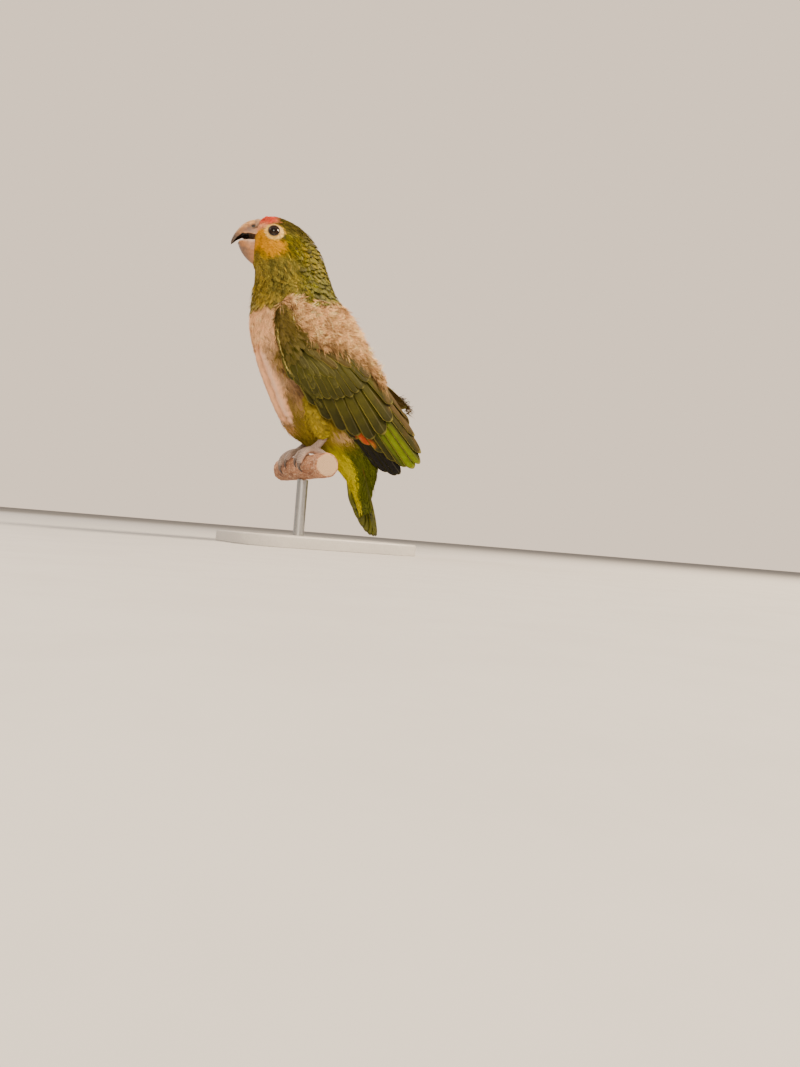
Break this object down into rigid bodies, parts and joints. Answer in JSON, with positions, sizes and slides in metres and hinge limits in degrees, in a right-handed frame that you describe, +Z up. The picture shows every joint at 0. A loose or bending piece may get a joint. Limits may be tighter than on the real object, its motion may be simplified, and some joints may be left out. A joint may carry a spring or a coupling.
{
  "type": "amazon parrot display model",
  "caption": "Life-size still model of a young red-lored amazon parrot, bill half open and head turned, gripping a short cut branch on a T-shaped display stand.",
  "frame": {"origin": "centre of the rod's line on the table, in the plane of the base's underside", "axes": "+Z up, the bird's body faces -Y and its left side is +X"},
  "size_m": [0.124, 0.1968, 0.2882],
  "materials": {
    "stand_plate": "smooth matt off-white paint",
    "stand_steel": "satin round rod",
    "bark": "reddish brown natural branch with flaked bark and sawn ends",
    "down": "cream and pinkish down over skin, with olive feathers coming through",
    "green_feathers": "olive-green feathers with pale edges",
    "head_feathers": "green head with red forehead, pale bare eye ring and orange-yellow cheek",
    "cere_skin": "bare greyish skin",
    "bill_horn": "greyish flesh-coloured horn with a dark tip, low sheen",
    "tongue": "moist black",
    "eye": "wet dark brown eye",
    "foot_skin": "grey scaled skin",
    "claw": "dark grey horn"
  },
  "bodies": {
    "root": {"stand_base": "stand_plate", "stand_rod": "stand_steel", "perch": "bark", "torso": "down", "neck": "green_feathers", "head": "head_feathers", "cere": "cere_skin", "bill_upper": "bill_horn", "bill_lower": "bill_horn", "tongue": "tongue", "eye_left": "eye", "eye_right": "eye", "wing_left": "green_feathers", "wing_right": "green_feathers", "tail": "green_feathers", "thigh_left": "down", "thigh_right": "down", "foot_left": "foot_skin", "foot_right": "foot_skin", "claw_left_1": "claw", "claw_left_2": "claw", "claw_left_3": "claw", "claw_left_4": "claw", "claw_right_1": "claw", "claw_right_2": "claw", "claw_right_3": "claw", "claw_right_4": "claw"}
  },
  "joints": []
}
